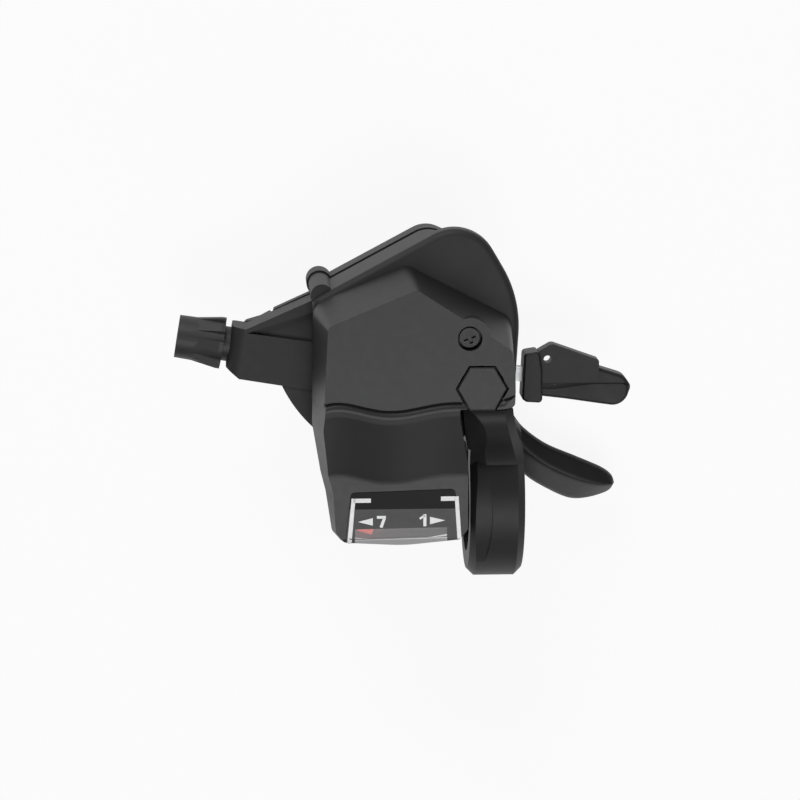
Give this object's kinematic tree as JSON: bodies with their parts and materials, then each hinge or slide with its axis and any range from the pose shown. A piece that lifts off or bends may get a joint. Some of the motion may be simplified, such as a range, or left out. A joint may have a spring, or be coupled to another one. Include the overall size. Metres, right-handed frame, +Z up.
{
  "type": "trigger gear shifter",
  "caption": "Right-hand thumb trigger gear shifter with handlebar clamp, main and release levers, gear window and barrel adjuster.",
  "frame": {"origin": "centre of the handlebar clamp's bore, at the middle of the band's width", "axes": "+X along the handlebar towards its outboard end, +Y forwards, +Z up, square to the flat cover face"},
  "size_m": [0.0919, 0.0715, 0.0494],
  "materials": {
    "housing_plastic": "matte black moulding",
    "cover_plastic": "fine matte black moulding",
    "clamp_plastic": "satin black moulding",
    "lever_plastic": "satin black moulding",
    "knob_plastic": "matte black moulding",
    "drum_plastic": "smooth grey moulding",
    "lens": "clear smoked moulding",
    "needle_red": "bright red moulding",
    "zinc_steel": "bright zinc",
    "spring_steel": "drawn wire",
    "dark_steel": "black oxide",
    "black_steel": "black coating"
  },
  "bodies": {
    "housing": {"base_housing": "housing_plastic", "top_cover": "cover_plastic", "lower_cover": "housing_plastic", "display_lens": "lens", "hex_plug": "cover_plastic", "cover_screw": "dark_steel", "lower_cover_screws": "dark_steel", "clamp_band": "clamp_plastic", "clamp_bolt": "dark_steel", "clamp_nut": "zinc_steel", "main_axle": "zinc_steel", "axle_nut": "zinc_steel", "shaft_washers": "zinc_steel", "lever_spacer": "drum_plastic", "hold_pawl_pin": "zinc_steel", "hold_pawl_spring": "spring_steel", "drum_return_spring": "spring_steel", "main_lever_spring": "spring_steel", "release_lever_spring": "spring_steel"},
    "drum": {"cable_drum": "drum_plastic", "ratchet_plate": "zinc_steel"},
    "needle": {"indicator_needle": "needle_red"},
    "main_lever": {"main_lever_arm": "black_steel", "main_lever_paddle": "lever_plastic", "drive_plate": "zinc_steel", "drive_pawl_pin": "zinc_steel", "drive_pawl_spring": "spring_steel"},
    "drive_pawl_body": {"drive_pawl": "zinc_steel"},
    "release_lever": {"release_lever_arm": "zinc_steel", "release_lever_paddle": "lever_plastic"},
    "hold_pawl_body": {"hold_pawl": "zinc_steel"},
    "adjuster_sleeve": {"click_sleeve": "knob_plastic"},
    "adjuster": {"adjuster_knob": "knob_plastic", "adjuster_screw": "zinc_steel"}
  },
  "joints": [
    {"name": "drum_turn", "type": "hinge", "parent": "housing", "child": "drum", "pos_m": [-0.0175, 0.0353, 0], "axis": [0, 0, 1], "range_deg": [0, 108], "stiffness_Nm_per_rad": 0.01},
    {"name": "needle_swing", "type": "hinge", "parent": "housing", "child": "needle", "pos_m": [-0.01783, 0.02431, 0.0145], "axis": [0, 0, 1], "range_deg": [0, 30.21]},
    {"name": "main_lever_swing", "type": "hinge", "parent": "housing", "child": "main_lever", "pos_m": [-0.0175, 0.0353, 0], "axis": [0, 0, 1], "range_deg": [0, 36], "stiffness_Nm_per_rad": 0.05, "springref_deg": -17.19},
    {"name": "drive_pawl_pivot", "type": "hinge", "parent": "main_lever", "child": "drive_pawl_body", "pos_m": [-0.02924, 0.02768, -0.0032], "axis": [0, 0, 1], "range_deg": [0, 9.5]},
    {"name": "release_lever_swing", "type": "hinge", "parent": "housing", "child": "release_lever", "pos_m": [-0.0175, 0.0353, 0], "axis": [0, 0, 1], "range_deg": [0, 15], "stiffness_Nm_per_rad": 0.05, "springref_deg": -11.46},
    {"name": "hold_pawl_pivot", "type": "hinge", "parent": "housing", "child": "hold_pawl_body", "pos_m": [-0.03057, 0.04032, -0.0032], "axis": [0, 0, 1], "range_deg": [0, 9.5]},
    {"name": "adjuster_travel", "type": "slide", "parent": "housing", "child": "adjuster_sleeve", "axis": [-0.9866, 0.1633, 0], "range_m": [-0.001, 0.0032]},
    {"name": "adjuster_turn", "type": "hinge", "parent": "adjuster_sleeve", "child": "adjuster", "pos_m": [-0.0538, 0.03158, 0.001], "axis": [-0.9866, 0.1633, 0], "range_deg": [-451, 1441]}
  ],
  "couplings": [
    {"joint": "needle_swing", "follows": "drum_turn", "ratio": 0.27963},
    {"joint": "adjuster_turn", "follows": "adjuster_travel", "rad_per_m": 7854}
  ]
}
